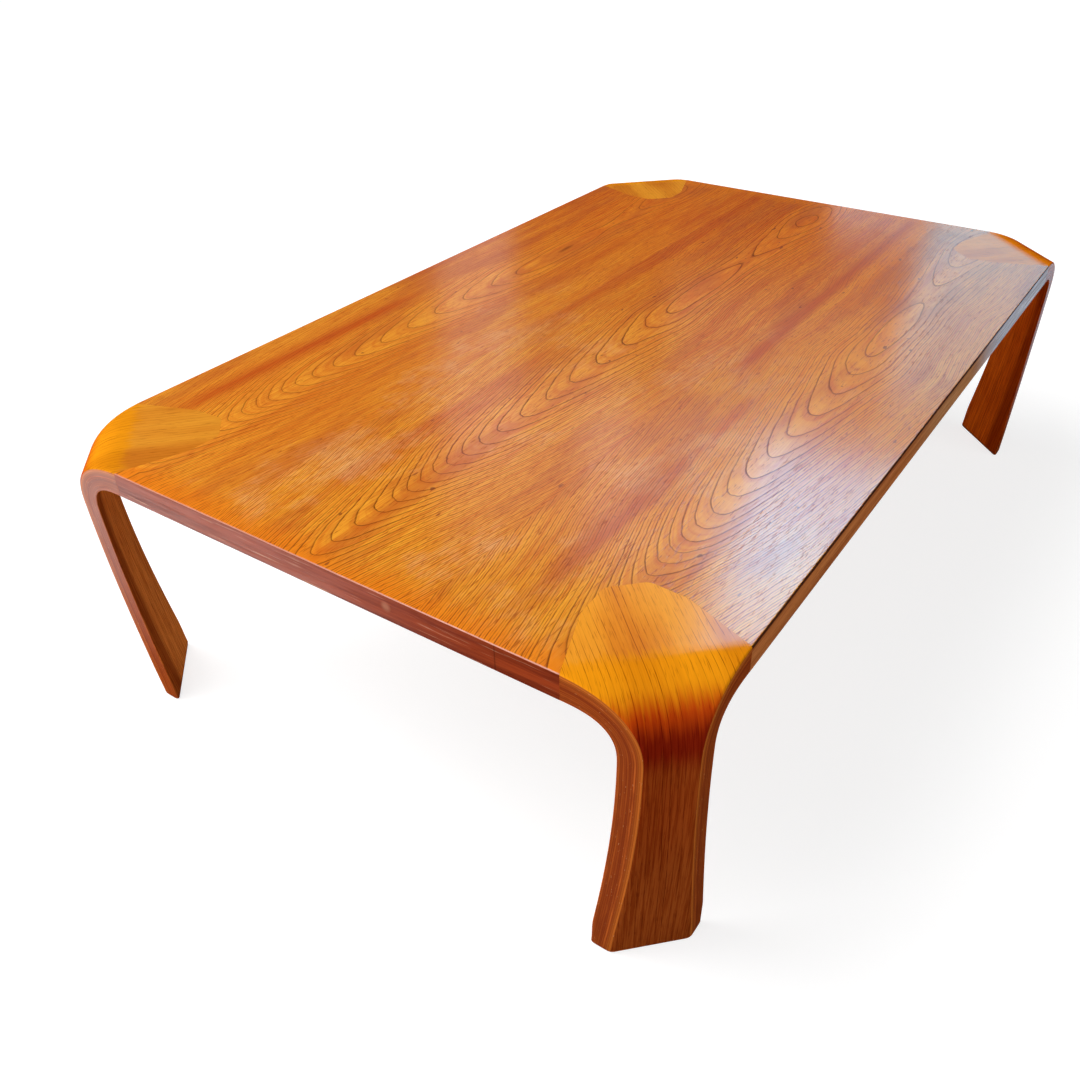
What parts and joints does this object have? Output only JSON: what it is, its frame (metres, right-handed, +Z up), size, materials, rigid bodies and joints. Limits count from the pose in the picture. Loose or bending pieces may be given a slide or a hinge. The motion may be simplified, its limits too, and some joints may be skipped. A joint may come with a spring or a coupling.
{
  "type": "low coffee table",
  "caption": "Long rectangular low table with a flat veneered top whose corners bend down into inward-leaning laminated wood legs set on the diagonal.",
  "frame": {"origin": "on the floor under the middle of the top", "axes": "+X along the table's length and the grain, +Y across it towards the back, +Z up"},
  "size_m": [1.21, 0.757, 0.332],
  "materials": {
    "face_veneer": "semi-gloss lacquered orange-brown veneer with strong grain",
    "leg_laminate": "lacquered edges of bent plies, red-brown",
    "inner_veneer": "satin lacquered veneer, deep brown",
    "lipping": "lacquered hardwood strip, red-brown",
    "core_plywood": "bare plywood",
    "backing_veneer": "thinly lacquered plain veneer",
    "tongue": "bare hardwood"
  },
  "bodies": {
    "root": {"top_core": "core_plywood", "top_veneer_front": "face_veneer", "top_veneer_middle": "face_veneer", "top_veneer_back": "face_veneer", "underside_veneer_front": "backing_veneer", "underside_veneer_middle": "backing_veneer", "underside_veneer_back": "backing_veneer", "lipping_front": "lipping", "lipping_back": "lipping", "lipping_left": "lipping", "lipping_right": "lipping", "leg_core_front_left": "leg_laminate", "leg_face_veneer_front_left": "face_veneer", "leg_inner_veneer_front_left": "inner_veneer", "leg_core_front_right": "leg_laminate", "leg_face_veneer_front_right": "face_veneer", "leg_inner_veneer_front_right": "inner_veneer", "leg_core_back_right": "leg_laminate", "leg_face_veneer_back_right": "face_veneer", "leg_inner_veneer_back_right": "inner_veneer", "leg_core_back_left": "leg_laminate", "leg_face_veneer_back_left": "face_veneer", "leg_inner_veneer_back_left": "inner_veneer", "spline_front_left_end": "tongue", "spline_front_left_left": "tongue", "spline_front_left_right": "tongue", "spline_front_right_end": "tongue", "spline_front_right_left": "tongue", "spline_front_right_right": "tongue", "spline_back_right_end": "tongue", "spline_back_right_left": "tongue", "spline_back_right_right": "tongue", "spline_back_left_end": "tongue", "spline_back_left_left": "tongue", "spline_back_left_right": "tongue"}
  },
  "joints": []
}
